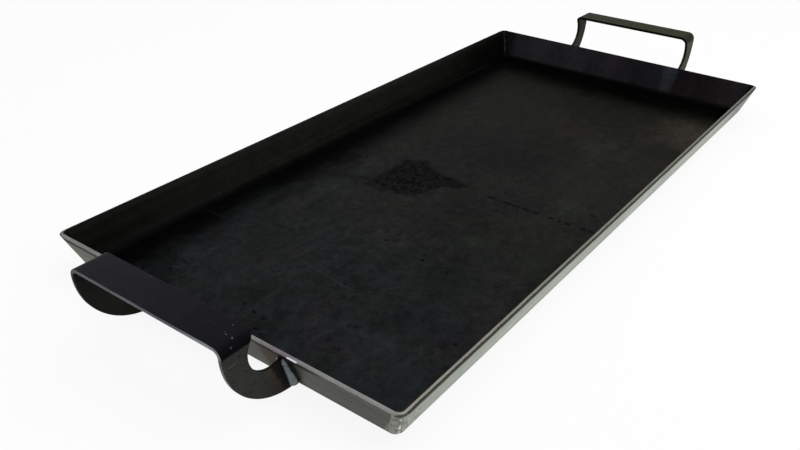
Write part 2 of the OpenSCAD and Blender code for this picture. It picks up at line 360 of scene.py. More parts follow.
def handle_mesh(sheet, sizes, end):
    """A handle: the rounded section of the plate, from its inner edge to its outer edge and through its thickness,
    carried up one leg, over the grip and down the other leg. On a leg the inner edge follows the hollow and the outer
    edge follows the hook, both from the wall, and the stations join points at equal shares of the two edges. In the
    folds the inner edge follows the hollow on, at the height of the middle of the plate. The mark is 0 on the faces, 1
    on the outer cut edge and -1 on the inner one."""
    t, e = sheet.t, sizes.plate_round
    legs = LEG_STATIONS
    cot = 1 / math.tan(sheet.slope)
    inner_x = sheet.rim_x + sizes.finger_gap
    outer_x = inner_x + sizes.grip_b - HAIR
    bend = sizes.grip_fold_r + t
    leg_top = sizes.grip_h - bend
    hook_r = leg_top - sizes.leg_lift
    hook_x = outer_x - hook_r
    hollow = np.array([inner_x + sizes.hollow_cut - sizes.hollow_r, sizes.leg_lift + sizes.foot_d + sizes.hollow_r])
    gap = sheet.foot_x - hollow[0]
    a, b, c = 1 + cot * cot, 2 * (gap * cot - hollow[1]), gap ** 2 + hollow[1] ** 2 - sizes.hollow_r ** 2
    z = (-b - math.sqrt(b * b - 4 * a * c)) / (2 * a)
    start = math.atan2(z - hollow[1], sheet.foot_x + z * cot - hollow[0])
    stop = math.asin((leg_top - hollow[1]) / sizes.hollow_r)
    turn = np.linspace(start, stop, CURVE_POINTS)[:, None]
    inner = hollow + sizes.hollow_r * np.hstack([np.cos(turn), np.sin(turn)])
    turn = np.linspace(-math.pi / 2, 0, CURVE_POINTS)[:, None]
    foot = [[sheet.foot_x + sizes.leg_lift * cot, sizes.leg_lift]]
    outer = np.concatenate([foot, np.array([hook_x, leg_top]) + hook_r * np.hstack([np.cos(turn), np.sin(turn)])])
    inner, outer = even_run(inner, legs), even_run(outer, legs)
    half, flat = sizes.handle_w / 2, sizes.handle_w / 2 - bend
    lift = np.linspace(0, math.pi / 2, FOLD_STATIONS + 1)[1:]
    over = np.linspace(flat, -flat, GRIP_STATIONS + 2)[1:-1]
    y = np.concatenate([np.full(legs, half), flat + bend * np.cos(lift), over])
    up = np.concatenate([np.zeros(legs), bend * np.sin(lift), np.full(len(over), bend)])
    norm_y = np.concatenate([np.ones(legs), np.cos(lift), np.zeros(len(over))])
    norm_z = np.concatenate([np.zeros(legs), np.sin(lift), np.ones(len(over))])
    mirror = np.arange(legs + FOLD_STATIONS)[::-1]
    y, up = np.concatenate([y, -y[mirror]]), np.concatenate([up, up[mirror]])
    norm_y, norm_z = np.concatenate([norm_y, -norm_y[mirror]]), np.concatenate([norm_z, norm_z[mirror]])
    pick = np.concatenate([np.arange(legs), np.full(len(y) - 2 * legs, legs - 1), np.arange(legs)[::-1]])
    inner, outer = inner[pick], outer[pick]
    above = leg_top + (bend - t / 2) * np.sin(lift) - hollow[1]
    notch = np.maximum(hollow[0] + np.sqrt(np.clip(sizes.hollow_r ** 2 - above ** 2, 0, None)), inner_x)
    inner[legs:-legs, 0] = np.concatenate([notch, np.full(len(over), inner_x), notch[::-1]])
    near = np.stack([inner[:, 0], y, inner[:, 1] + up], -1)
    far = np.stack([outer[:, 0], y, outer[:, 1] + up], -1)
    normal = np.stack([np.zeros(len(y)), norm_y, norm_z], -1)
    arc = np.linspace(0, math.pi / 2, EDGE_STEPS)
    lip = e + 0.0007  # a narrow strip keeps each face flat as far as its rounded edges
    across = [0.0] * 2 + [0.2, 0.4, 0.6, 0.8] + [1.0] * 2
    inset = np.array([e, lip, 0, 0, 0, 0, -lip, -e])
    face, cut = len(across), 2 * EDGE_STEPS - 1  # points on a face and on a cut edge
    share_w = np.concatenate([across, np.ones(cut), across[::-1], np.zeros(cut)])
    shift_w = np.concatenate([inset, e * np.sin(arc[1:]) - e, [0], e * np.cos(arc[:-1]) - e,
                              inset[::-1], e - e * np.sin(arc[1:]), [0], e - e * np.cos(arc[:-1])])
    depth = np.concatenate([np.zeros(face), e - e * np.cos(arc[1:]), [t / 2], t - e + e * np.sin(arc[:-1]),
                            np.full(face, t), t - e + e * np.cos(arc[1:]), [t / 2], e - e * np.sin(arc[:-1])])
    ramp = np.linspace(0.2, 1, EDGE_STEPS - 1)
    edge = np.concatenate([np.zeros(face), ramp, [1], ramp[::-1]])
    edge = np.concatenate([edge, -edge])
    width = np.linalg.norm(far - near, axis=1)[:, None]
    step = (far - near) / width
    grid = near[:, None] + step[:, None] * (share_w * width + shift_w)[..., None] - normal[:, None] * depth[:, None]
    grid = grid * [end, end, 1]
    rows, ring = grid.shape[:2]
    lids = [np.arange(ring), (rows - 1) * ring + np.arange(ring)]
    return grid.reshape(-1, 3), np.tile(edge, rows), quads(rows, ring, ring=True), lids


def bead_mesh(sheet, sizes, end, side, outer):
    """A weld bead: a quarter round about the root line between a leg and the wall, flared towards its foot, with
    round ends, whose radius dips between crescent ripples. A point is the root plus rho times a direction between
    the wall's normal and Y. The mark is the height of the ripples, 0 at the toes of the bead."""
    c, s_ = math.cos(sheet.slope), math.sin(sheet.slope)
    r, foot, pitch = sizes.bead_r, sizes.bead_foot_r, sizes.bead_pitch
    low = (sizes.bead_lift + foot * c) / s_
    high = sizes.bead_top / s_ - r
    heel = 0.0016  # length of the round end at the foot
    ease = 1 - np.cos(np.linspace(0, math.pi / 2, BEAD_END_STEPS))
    s = np.concatenate([low + heel * ease, np.linspace(low + heel, high, BEAD_STATIONS + 2)[1:-1],
                        high + r - r * ease[::-1]])
    psi = np.linspace(0, math.pi / 2, BEAD_STEPS)
    flare = foot + (r - foot) * np.clip((s - low) / (high - low), 0, 1)
    past_foot, past_top = np.clip(low + heel - s, 0, None) / heel, np.clip(s - high, 0, None) / r
    body = np.sqrt(np.clip(1 - past_foot ** 2 - past_top ** 2, 0, 1))
    bow, start = 0.55, 0.23 * side + 0.31 * outer  # in pitches; the beads of a handle start their ripples apart
    phase = s[:, None] / pitch + bow * np.sin(2 * psi) + start
    toes = np.sin(2 * psi).clip(0) ** 0.5
    ripple = np.abs(np.sin(math.pi * phase)) ** 0.6 * toes
    wander = BEAD_WANDER * np.sin(s[:, None] * 410 + end) * np.sin(psi * 2)
    rho = (flare * body)[:, None] * (BEAD_CORE + BEAD_RIPPLE * ripple + wander)
    way = side if outer else -side
    root_y = side * (sizes.handle_w / 2 - (0 if outer else sheet.t))
    root = np.stack([sheet.foot_x + s * c, np.full(len(s), root_y), s * s_], -1)
    aim = np.cos(psi)[:, None] * [s_, 0, -c] + np.sin(psi)[:, None] * [0, way, 0]
    grid = root[:, None] + rho[..., None] * aim[None]
    grid = np.concatenate([grid, root[:, None]], axis=1) * [end, end, 1]
    rows, ring = grid.shape[:2]
    marks = np.concatenate([ripple, np.zeros((rows, 1))], axis=1)
    return grid.reshape(-1, 3), marks.reshape(-1), quads(rows, ring, ring=True)


# Materials

def both_ways(operation):
    """An operator and its reflected form, each of which adds a Math node."""
    return (lambda self, other: self.maths(operation, self, other),
            lambda self, other: self.maths(operation, other, self))


class Wire:
    """An output of a node that takes part in Python sums."""

    def __init__(self, recipe, socket):
        self.recipe = recipe
        self.socket = socket

    def maths(self, operation, left, right=0.0):
        return self.recipe.node("ShaderNodeMath", {"operation": operation}, {0: left, 1: right})

    __add__, __radd__ = both_ways("ADD")
    __sub__, __rsub__ = both_ways("SUBTRACT")
    __mul__, __rmul__ = both_ways("MULTIPLY")
    __truediv__, __rtruediv__ = both_ways("DIVIDE")

    def __abs__(self):
        return self.maths("ABSOLUTE", self)

    def most(self, other):
        return self.maths("MAXIMUM", self, other)

    def least(self, other):
        return self.maths("MINIMUM", self, other)

    def root(self):
        return self.maths("SQRT", self)

    def beside(self, out):
        """Another output of the node that this one belongs to."""
        return Wire(self.recipe, self.socket.node.outputs[out])


class Recipe:
    """The node tree of a material or a world while it is being written."""

    def __init__(self, owner):
        owner.use_nodes = True
        self.owner = owner
        self.tree = owner.node_tree
        self.tree.nodes.clear()

    def node(self, kind, settings=None, sockets=None, out=0):
        """One node: its settings first, then the values or links of its sockets; gives the output asked for."""
        made = self.tree.nodes.new(kind)
        for key, value in (settings or {}).items():
            setattr(made, key, value)
        for key, value in (sockets or {}).items():
            if isinstance(value, Wire):
                self.tree.links.new(value.socket, made.inputs[key])
            else:
                made.inputs[key].default_value = value
        return Wire(self, made.outputs[out]) if made.outputs else None

    def seen(self):
        """1 for camera, glossy and transmitted rays, and 0 for the light that falls on other things."""
        camera = self.node("ShaderNodeLightPath", out="Is Camera Ray")
        return camera.most(camera.beside("Is Glossy Ray")).most(camera.beside("Is Transmission Ray"))


class SteelRecipe(Recipe):
    """The material of a piece, laid out on its Object coordinates."""

    def __init__(self, name):
        super().__init__(bpy.data.materials.new(name))
        self.place = self.node("ShaderNodeTexCoord", out="Object")
        self.x = self.node("ShaderNodeSeparateXYZ", sockets={0: self.place}, out="X")
        self.y, self.z = self.x.beside("Y"), self.x.beside("Z")

    def mark(self, name):
        """The piece's own point attribute."""
        return self.node("ShaderNodeAttribute", {"attribute_name": name}, out="Fac")

    def stretch(self, scale, turn=0.0):
        """Coordinates turned about Z and stretched."""
        return self.node("ShaderNodeMapping", sockets={
            "Vector": self.place, "Scale": scale, "Rotation": (0.0, 0.0, turn)})

    def noise(self, scale, detail=3.0, rough=0.55, warp=0.0, at=None):
        """Noise from 0 to 1; scale is in cells per metre."""
        return self.node("ShaderNodeTexNoise", sockets={
            "Vector": at or self.place, "Scale": scale, "Detail": detail, "Roughness": rough, "Distortion": warp})

    def stir(self, *how, **where):
        """Noise from -0.5 to 0.5."""
        return self.noise(*how, **where) - 0.5

    def cells(self, scale):
        """Distance from the nearest of many scattered points, in cells."""
        return self.node("ShaderNodeTexVoronoi", sockets={"Vector": self.place, "Scale": scale})

    def rise(self, value, low, high):
        """0 below low and 1 above high, with a smooth step between; high may be the smaller."""
        return self.node("ShaderNodeMapRange", {"interpolation_type": "SMOOTHSTEP"},
                         {"Value": value, "From Min": low, "From Max": high})

    def mix(self, amount, first, second):
        """Colours mixed by amount."""
        return self.node("ShaderNodeMix", {"data_type": "RGBA"},
                         {0: amount, 6: self.rgba(first), 7: self.rgba(second)}, out=2)

    def tone(self, colour, factor):
        """A colour made darker or lighter by a factor."""
        return self.node("ShaderNodeMix", {"data_type": "RGBA", "blend_type": "MULTIPLY"},
                         {0: 1.0, 6: self.rgba(colour), 7: factor}, out=2)

    @staticmethod
    def rgba(value):
        return value if isinstance(value, Wire) else (*value, 1.0)

    def outside(self, corners):
        """How far a point of the floor lies outside the many-sided patch with these corners, given anticlockwise."""
        gaps = []
        for (ax, ay), (bx, by) in zip(corners, corners[1:] + corners[:1]):
            side = math.hypot(bx - ax, by - ay)
            nx, ny = (by - ay) / side, (ax - bx) / side
            gaps.append(self.x * nx + self.y * ny - (ax * nx + ay * ny))
        return reduce(Wire.most, gaps)

    def dots(self, places):
        """Distance from the nearest of several spots in plan, as a share of its size; a spot is (x, y, size)."""
        gaps = []
        for cx, cy, size in places:
            px, py = self.x - cx, self.y - cy
            gaps.append((px * px + py * py).root() / size)
        return reduce(Wire.least, gaps)

    def stroke(self, start, end):
        """Distance in plan from a straight stroke between two points."""
        (ax, ay), (bx, by) = start, end
        span = (bx - ax) ** 2 + (by - ay) ** 2
        px, py = self.x - ax, self.y - ay
        along = (px * ((bx - ax) / span) + py * ((by - ay) / span)).most(0.0).least(1.0)
        px, py = px - along * (bx - ax), py - along * (by - ay)
        return (px * px + py * py).root()

    def finish(self, colour, rough, metal, gloss, bumps):
        """The surface: bumps are (height, size in metres, strength), each on top of the one before."""
        sockets = {"Base Color": colour, "Roughness": rough, "Metallic": metal, "Specular IOR Level": gloss}
        below = {}
        for height, size, strength in bumps:
            below = {"Normal": self.node("ShaderNodeBump", sockets={
                "Height": height, "Distance": size, "Strength": strength, **below})}
        shader = self.node("ShaderNodeBsdfPrincipled", sockets={**sockets, **below})
        self.node("ShaderNodeOutputMaterial", sockets={"Surface": shader})
        return self.owner


class PanRecipe(SteelRecipe):
    """The material of the pan, with the textures and masks that its floor, walls and rim share."""

    def __init__(self, sizes, sheet):
        super().__init__("pan_steel")
        self.run = self.mark("run")
        self.clouds = self.stir(6.0, 4.0, 0.6, 0.6)
        self.patches = self.stir(24.0, 5.0, 0.65, 0.5)
        self.mottle = self.stir(150.0, 4.0, 0.68, 0.4)
        self.grain = self.stir(900.0, 2.0, 0.6)
        self.wiped = self.stir(9.0, 6.0, 0.6, 1.0, at=self.stretch((1.0, 3.6, 1.0), 0.75))
        self.long_wall = self.rise((abs(self.y) - sheet.half_w) - (abs(self.x) - sheet.half_l), -0.001, 0.001)
        self.end_wall = 1 - self.long_wall
        self.ends = self.rise(abs(self.x), sheet.half_l + 0.001, sheet.half_l + 0.004)
        self.leg_gap = abs(self.y) - (sizes.handle_w - sheet.t) / 2
        self.scratch = self.scratches()

    def scratches(self):
        """Fine hairs in places, and a few longer scratches."""
        hairs = self.noise(170.0, 1.0, 0.5, at=self.stretch((1.0, 0.03, 1.0), 0.42))
        found = self.rise(hairs, 0.725, 0.75) * self.rise(self.noise(13.0, 2.0), 0.52, 0.62) * 0.5
        for start, end in SCRATCHES:
            found = found.most(self.rise(self.stroke(start, end) + self.mottle * 0.0012, 0.0009, 0.0002))
        return found


FILM_GLOSS = 0.008  # specular levels: the season, the scale on each handle and the beads
HANDLE_GLOSS = {"front": 0.024, "rear": 0.010}
BEAD_GLOSS = 0.3

# Marks in plan: patches by their corners, strokes by their ends, spots as (x, y, size), dashes as (y, half length)
STAINS = [[(-0.0850, 0.0540), (-0.0731, 0.0181), (-0.0476, 0.0100), (-0.0266, 0.0172), (-0.0035, 0.0535),
           (-0.0149, 0.0706), (-0.0603, 0.0738), (-0.0833, 0.0709)],
          [(-0.0430, 0.0110), (-0.0365, -0.0072), (-0.0263, -0.0099), (-0.0161, 0.0125), (-0.0225, 0.0215),
           (-0.0370, 0.0200)]]
DASH_X = -0.0312
DASHES = [(-0.0435, 0.0043), (-0.0655, 0.0099), (-0.0839, 0.0057), (-0.0930, 0.0022), (-0.1090, 0.0025),
          (-0.1180, 0.0015), (-0.1265, 0.0028), (-0.1420, 0.0026), (-0.1509, 0.0030)]
SMEAR = ((-0.0896, 0.1137), (-0.0731, 0.0793))
SPECKS = [(-0.299, 0.018, 0.0022), (-0.302, 0.004, 0.0024), (-0.304, -0.008, 0.0018), (-0.316, -0.012, 0.0022),
          (-0.318, -0.020, 0.0018), (-0.297, -0.079, 0.0015), (-0.163, -0.056, 0.0026), (-0.156, -0.011, 0.0022),
          (-0.162, 0.012, 0.0016), (-0.160, 0.030, 0.0013), (-0.241, -0.143, 0.0016), (-0.301, 0.104, 0.0020),
          (-0.101, -0.012, 0.0014), (0.0386, -0.0633, 0.0014), (-0.0515, -0.0364, 0.0014),
          (-0.0439, -0.0416, 0.0013), (-0.0617, -0.0610, 0.0019), (-0.0034, -0.1386, 0.0030),
          (-0.0401, -0.0780, 0.0014), (-0.165, -0.083, 0.0016), (-0.152, -0.100, 0.0016), (-0.156, -0.053, 0.0015),
          (-0.175, -0.073, 0.0012), (-0.230, -0.027, 0.0016)]
SMUDGES = [(-0.044, 0.093, 0.024), (-0.106, 0.098, 0.030), (-0.010, -0.112, 0.026), (-0.160, 0.120, 0.022),
           (-0.150, 0.000, 0.050), (0.007, 0.104, 0.030), (-0.110, -0.076, 0.018), (0.132, -0.084, 0.052),
           (-0.262, -0.136, 0.020)]
WARM = [(0.234, -0.150, 0.070)]
# soot near the front left corner of the floor, and a spot that widens the painted shade beside the left fold
SOOT_AND_SHADE = [(-0.310, 0.112, 0.030), (-0.050, 0.128, 0.024)]
DULL = [(0.072, -0.016, 0.080), (-0.242, -0.107, 0.034), (-0.172, -0.086, 0.030)]
SCRATCHES = [((-0.228, 0.052), (-0.207, 0.045)), ((-0.226, 0.027), (-0.232, -0.023)),
             ((-0.232, -0.023), (-0.234, -0.037)), ((-0.188, 0.172), (-0.193, 0.164))]
CHIPS = [(-0.378, -0.0637, 0.0008), (-0.3868, -0.0722, 0.0009), (-0.3915, -0.0758, 0.0007),
         (-0.3869, -0.0673, 0.0008), (-0.3858, -0.0648, 0.0006)]
# the painted highlight on the rim lies at this y
RIM_HIGHLIGHT_Y = -0.087
DIE_GROOVE_Z, DIE_LAND_Z = 0.0501, 0.0515  # lines that the bending die left across the legs


def heat(r, looks, colour, distance, reach, tint, burn=1.0):
    """Heat tint beside a weld: brown furthest out, then burnt blue-black next to the weld."""
    drift = distance + r.stir(170.0, 4.0) * reach * 0.5
    brown = r.rise(drift, reach * 1.1, reach * 0.4) * tint
    burnt = r.rise(drift, reach * 0.70, reach * 0.42) * burn
    return r.mix(burnt * 0.96, r.mix(brown, colour, looks.tint_brown), looks.tint_burnt)


def cut_edge(r, looks, run, t, shade_amount, cream, black):
    """Masks across the rim: 1 past the inside edge, 1 past the outside edge, and the dark band below the outside
    edge, a painted shade that is taller and darker where its amount is higher, with the torn zone of the cut face
    above it; then the colour of the cut face, cream or seasoned black in places."""
    nick = r.stir(140.0, 4.0, 0.6) * 0.0009
    over = r.rise(run + nick - black * 0.0004, -0.00025, 0.00030)
    past = r.rise(run + nick, t - 0.00035, t + 0.0002)
    band = (run - t + nick * 2.0) / (0.0026 + shade_amount * 0.0020)
    # painted shade: a dark band on the outside just below the rim's outer edge
    edge_shade_and_tear = r.rise(band, 1.15, 0.60) * r.rise(run + nick, t - 0.0002, t + 0.0004) * shade_amount
    torn = r.rise(run + nick, t - 0.0016, t - 0.0009) * r.rise(run, t + 0.0012, t + 0.0004)
    edge_shade_and_tear = edge_shade_and_tear.most(torn * cream * 0.96)
    face = r.mix(cream, looks.shear, looks.shear_side)
    face = r.tone(face, 0.50 + r.noise(55.0, 4.0, 0.65) * 0.55 + r.noise(420.0, 3.0, 0.6) * 0.35)
    return over, past, edge_shade_and_tear, r.mix(black * 0.93, face, looks.soot_and_shade)


def over_the_rim(r, looks, inside, outside, edge, black):
    """Colour from the inside over the cut face to the outside, and where it is bare metal; edge is what cut_edge
    gives."""
    over, past, edge_shade_and_tear, face = edge
    colour = r.mix(past, r.mix(over, inside, face), outside)
    metal = over * (1 - black * (1 - past)) * (1 - edge_shade_and_tear * 0.95)
    return r.mix(edge_shade_and_tear * 0.92, colour, looks.edge_shade_and_tear), metal


def dash_row(r):
    """A broken row of dark dashes across the floor."""
    row = reduce(Wire.most, [r.rise(abs(r.y - middle), half + 0.0008, half - 0.0006) for middle, half in DASHES])
    gap = abs(r.x - DASH_X + r.stir(150.0, 3.0) * 0.0036) + r.stir(210.0, 3.0) * 0.0036
    return row * r.rise(gap, 0.0026, 0.0013)


def pan_floor(r, looks, sheet):
    """Season on the floor: black, bluish in front and brown towards the rear, darkened along the left and rear
    folds as painted shade and a painted reflection of the walls, with its stain, smear, dashes, specks and
    scratches. Gives its colour and where it is baked rougher."""
    x, y = r.x, r.y
    floor = r.rise(r.z, sheet.t + 0.0022, sheet.t + 0.0004)
    hue = r.noise(13.0, 4.0, 0.6, 0.8)
    front = r.rise(x + r.clouds * 0.40 - y * 0.35, -0.04, -0.28) * (0.30 + r.rise(hue, 0.40, 0.58) * 0.70)
    rear = r.rise(x + r.patches * 0.35, 0.00, 0.30)
    warm = r.rise(r.dots(WARM) + r.patches * 1.2, 1.0, 0.1)
    season = r.mix(front * 0.9, looks.season, looks.season_blue)
    season = r.mix(rear * 0.9, season, looks.season_brown)
    season = r.mix(r.rise(r.noise(17.0, 3.0, 0.6, 0.6), 0.54, 0.68) * 0.28, season, looks.season_purple)
    season = r.mix(warm * 0.72, season, looks.season_warm)

    rubbed = r.stir(60.0, 4.0, 0.6, 0.3, at=r.stretch((0.16, 1.0, 1.0), -0.55))
    shade = 1 + r.clouds * 0.55 + r.patches * 0.85 + r.wiped * 1.10 + rubbed * 0.55
    shade = shade + r.mottle * 2.15 + r.grain * 1.60 + r.rise(y, -0.02, -0.13) * 0.22
    feather = r.patches * 0.035 + r.wiped * 0.03
    # painted shade and a painted reflection of the walls: the floor darkened along the left and rear folds
    painted_fold_shade = r.rise(feather - y, 0.060 - sheet.half_w, 0.014 - sheet.half_w)
    painted_fold_shade = painted_fold_shade.most(r.rise(feather - x, 0.080 - sheet.half_l, 0.026 - sheet.half_l))
    # darker spots: soot near the front left corner, and painted shade beside the left fold
    soot_and_shade = r.rise(r.dots(SOOT_AND_SHADE) + r.stir(75.0, 5.0, 0.7, 0.8) * 3.4, 1.0, 0.55)
    smudge = r.rise(r.dots(SMUDGES) + r.stir(48.0, 5.0, 0.65, 0.5) * 1.5, 1.05, 0.25) * floor
    dull = r.rise(r.dots(DULL) + r.patches * 1.3, 1.05, 0.25) * floor
    shade = shade * (1 - painted_fold_shade * 0.90) * (1 - soot_and_shade * 0.55) * (1 + smudge * 0.26) * (1 - dull * 0.30)

    gap = reduce(Wire.least, [r.outside(corners) for corners in STAINS]) + r.stir(62.0, 5.0, 0.7, 0.6) * 0.020
    stain = r.rise(gap, 0.0034, -0.0034) * floor
    tide = r.rise(abs(gap + 0.0006), 0.0024, 0.0004) * r.rise(hue, 0.42, 0.56) * floor
    curdled = r.rise(r.noise(160.0, 4.0, 0.65, 0.6), 0.42, 0.58)
    smear = r.rise(r.stroke(*SMEAR) + r.patches * 0.008, 0.0075, 0.0010) * floor
    dashes = dash_row(r) * floor
    fleck = r.rise(r.cells(44.0) + r.stir(420.0, 3.0) * 0.16, 0.085, 0.035) * r.rise(r.noise(21.0, 2.0), 0.56, 0.62)
    speck = r.rise(r.dots(SPECKS) + r.stir(330.0, 3.0, 0.6) * 2.2, 1.05, 0.55).most(fleck * 0.7) * floor
    shade = shade * (1 - stain * (0.42 + curdled * 0.48)) * (1 - tide * 0.35)
    shade = shade * (1 - smear * 0.38) * (1 - dashes * 0.85) * (1 - speck * 0.80)
    return r.tone(season, shade + r.scratch * 0.75), stain * 0.16 + speck * 0.1


def pan_inside(r, looks, sheet, floor):
    """Season up the walls: the long walls lighter up the wall and at the top as a painted reflection, darker towards
    the rear left corner as painted shade, the end walls bluish with purple patches and paler, partly as painted
    light, and a place paled by heat behind each leg. The colour of the floor runs up into the folds."""
    x, y, z, long_wall, end_wall = r.x, r.y, r.z, r.long_wall, r.end_wall
    streak = r.noise(40.0, 4.0, 0.6, at=r.stretch((0.06, 1.0, 5.0))) * long_wall
    streak = streak + r.noise(34.0, 4.0, 0.65, 0.5, at=r.stretch((1.0, 0.9, 0.35))) * end_wall
    shade = 0.85 + (streak - 0.5) * 1.4 + r.patches * 0.8 + r.mottle * 0.9 + r.grain * 0.5
    middle = r.rise(abs(x + 0.06) + r.clouds * 0.2, 0.30, 0.10)
    # painted reflection: the long walls lighter up the wall and most at the top, and lighter low down towards the front
    wall_reflection = (1.02 + r.rise(z, 0.004, 0.030) * 0.25) * (1 + r.rise(z, 0.028, 0.0335) * 0.9)
    wall_reflection = wall_reflection * (1 + r.rise(x, 0.06, -0.08) * r.rise(z, 0.020, 0.008) * 0.40)
    shade = shade * ((1 + (middle - 0.35) * 0.42) * wall_reflection * long_wall + end_wall)
    darker = r.rise(y + r.clouds * 0.06, 0.03, -0.05) * end_wall
    paler = (r.rise(y, -0.115, -0.145) * 0.45 + r.rise(abs(y - 0.085), 0.060, 0.025) * 0.28) * end_wall
    # painted shade: the long walls darker towards the rear and the end walls towards the left, most in the rear left
    # corner
    corner_shade = r.rise(x, 0.20, 0.30) * long_wall + r.rise(y, 0.146, 0.160) * end_wall
    shade = shade * (1 - darker * 0.25) * (1 + paler) * (1 - corner_shade * 0.60)
    purple = r.rise(r.patches * 0.16 - y, 0.075, 0.105) * r.rise(r.mottle * 0.02 - y, 0.156, 0.148)
    purple = purple.most(r.rise(r.patches + r.clouds * 0.8, 0.0, 0.12) * 0.45) * end_wall
    season = r.mix(long_wall, looks.season_end_lit, looks.season_side)
    season = r.mix(purple * 0.85, season, looks.season_purple)
    up_wall = r.rise(z, sheet.t + 0.0008, sheet.t + 0.0050)
    inside = r.mix(up_wall, floor, r.tone(season, shade + r.scratch * 0.5))
    behind = r.rise(abs(r.leg_gap + 0.0045) - z * 0.08 + r.stir(90.0, 3.0) * 0.004, 0.0086, 0.0050)
    behind = behind * r.ends * r.rise(z, 0.004, 0.010) * r.rise(y, 0.03, -0.03).most(0.12)
    paled = behind * (streak * 1.1 + r.mottle * 1.6 + z * 9.0)
    return r.mix(paled.least(1.0), inside, looks.season_heat)


def pan_outside(r, looks, sheet, brush, under):
    """Outside of the walls: brushed steel, ground near the corners and tinted by heat beside the legs, with scale
    under the floor. Gives its colour and the distance from the weld of a leg."""
    x, y, z, long_wall, end_wall = r.x, r.y, r.z, r.long_wall, r.end_wall
    smeared = r.stir(240.0, 3.0, 0.6, at=r.stretch((1.0, 0.07, 1.7))) * end_wall
    haze = r.stir(16.0, 5.0, 0.62, 0.5, at=r.stretch((0.5, 0.5, 3.0)))
    rub = r.rise(r.noise(60.0, 5.0, 0.6, at=r.stretch((0.3, 0.3, 1.6))), 0.52, 0.62)
    # the end walls paler towards their left ends, and the long walls darker towards the rear
    paler_left_darker_rear = (1 + r.rise(y, 0.08, 0.15) * 0.85 * end_wall) * (1 - r.rise(x, 0.24, 0.31) * 0.55 * long_wall)
    shade = (0.42 + brush * 0.80 + haze * 0.9 + rub * 0.16 + r.mottle * 0.35 + smeared * 1.1) * paler_left_darker_rear
    # painted light: the long walls' outside far paler than the end walls'
    bare = r.tone(r.mix(long_wall, looks.end_wall, looks.side_wall_lit), shade)
    knee = 0.0053  # height at which the outside of a wall leaves its fold
    lean = (z - knee) / math.tan(sheet.slope)
    corner_gap = (sheet.half_l + lean - abs(x)) * long_wall + (sheet.half_w + lean - abs(y)) * end_wall
    ground = r.rise(corner_gap + z * 0.20 + r.stir(110.0, 3.0) * 0.003, 0.0052, 0.0042)
    grind = r.noise(260.0, 4.0, 0.65, 0.8)
    bare = r.mix(ground, bare, r.tone(looks.dressed, 0.45 + grind * 0.55 + r.mottle * 0.9))
    scuffed = r.rise(corner_gap + r.patches * 0.02, 0.022, 0.006) * long_wall
    bare = r.tone(bare, 1 + scuffed * (r.rise(grind, 0.40, 0.60) - 0.62) * 0.75)
    between = r.rise(r.leg_gap, -0.001, -0.004)
    spread = (abs(r.leg_gap) - 0.0030 - z * 0.10).most(0.0) * (1.30 - between * 0.60)
    bare = heat(r, looks, bare, spread + (1 - r.ends), 0.014, 0.50 + between * 0.36, 1 - between * 0.92)
    scale = r.tone(looks.underside, 0.85 + r.patches * 0.6 + haze * 0.9 + r.mottle * 0.5)
    return r.mix(under, bare, scale), spread


def pan_steel(looks, sizes, sheet):
    """Pan: season inside, sheared rim, streaked bare steel outside, scale under it, and heat tint beside the legs."""
    r = PanRecipe(sizes, sheet)
    x, y, run, t, long_wall, end_wall = r.x, r.y, r.run, sheet.t, r.long_wall, r.end_wall
    brush = r.noise(240.0, 4.0, 0.7, at=r.stretch((0.02, 1.0, 6.0))) * long_wall
    brush = brush + r.noise(240.0, 4.0, 0.7, at=r.stretch((1.0, 0.02, 6.0))) * end_wall
    under = r.rise(r.z, 0.0035, 0.0008) * r.rise(run, t * 0.5, t)
    floor, baked = pan_floor(r, looks, sheet)
    inside = pan_inside(r, looks, sheet, floor)
    outside, spread = pan_outside(r, looks, sheet, brush, under)

    right_wall = r.rise(y, 0.0, -0.01) * long_wall
    black = r.rise(y, 0.0, 0.01) * long_wall + r.rise(x, 0.0, 0.01) * end_wall
    # how tall and dark the painted shade under the rim is: most on the right wall and the right ends of the end walls
    edge_shade_amount = r.rise(y + r.clouds * 0.02, -0.112, -0.100) * (0.70 + r.rise(r.clouds, -0.10, 0.10) * 0.25)
    edge_shade_amount = right_wall * 0.95 + edge_shade_amount * end_wall
    over, past, edge_shade_and_tear, face = cut_edge(r, looks, run, t, edge_shade_amount, right_wall, black)
    face = r.mix(r.rise(abs(r.leg_gap), 0.026, 0.006) * r.ends * 0.55, face, looks.bead_end)
    colour, metal = over_the_rim(r, looks, inside, outside, (over, past, edge_shade_and_tear, face), black)
    # painted highlight on the rim beside the front right leg
    rim_highlight = r.rise(abs(run - t + 0.0002), 0.0011, 0.0005) * r.rise(abs(y - RIM_HIGHLIGHT_Y), 0.0052, 0.0036)
    colour = r.mix(rim_highlight * r.rise(x, -0.30, -0.34), colour, looks.rim_highlight)
    film = looks.season_rough + r.patches * 0.25 + r.wiped * 0.22 + baked
    rough = film * (1 - over) + over * (0.36 + (1 - brush) * 0.20 + under * 0.2)
    rough = rough + black * over * (1 - past) * 0.5
    oxide = past * end_wall * (0.45 + r.rise(spread, 0.015, 0.008) * r.ends * 0.35)
    skin = brush * over + (1 - over) * (r.mottle + 0.5)
    return r.finish(colour, rough, metal * (1 - oxide), FILM_GLOSS,
                    [(r.clouds, 0.0012, 0.08), (r.patches, 0.0004, 0.10), (skin, 0.00015, 0.30)])


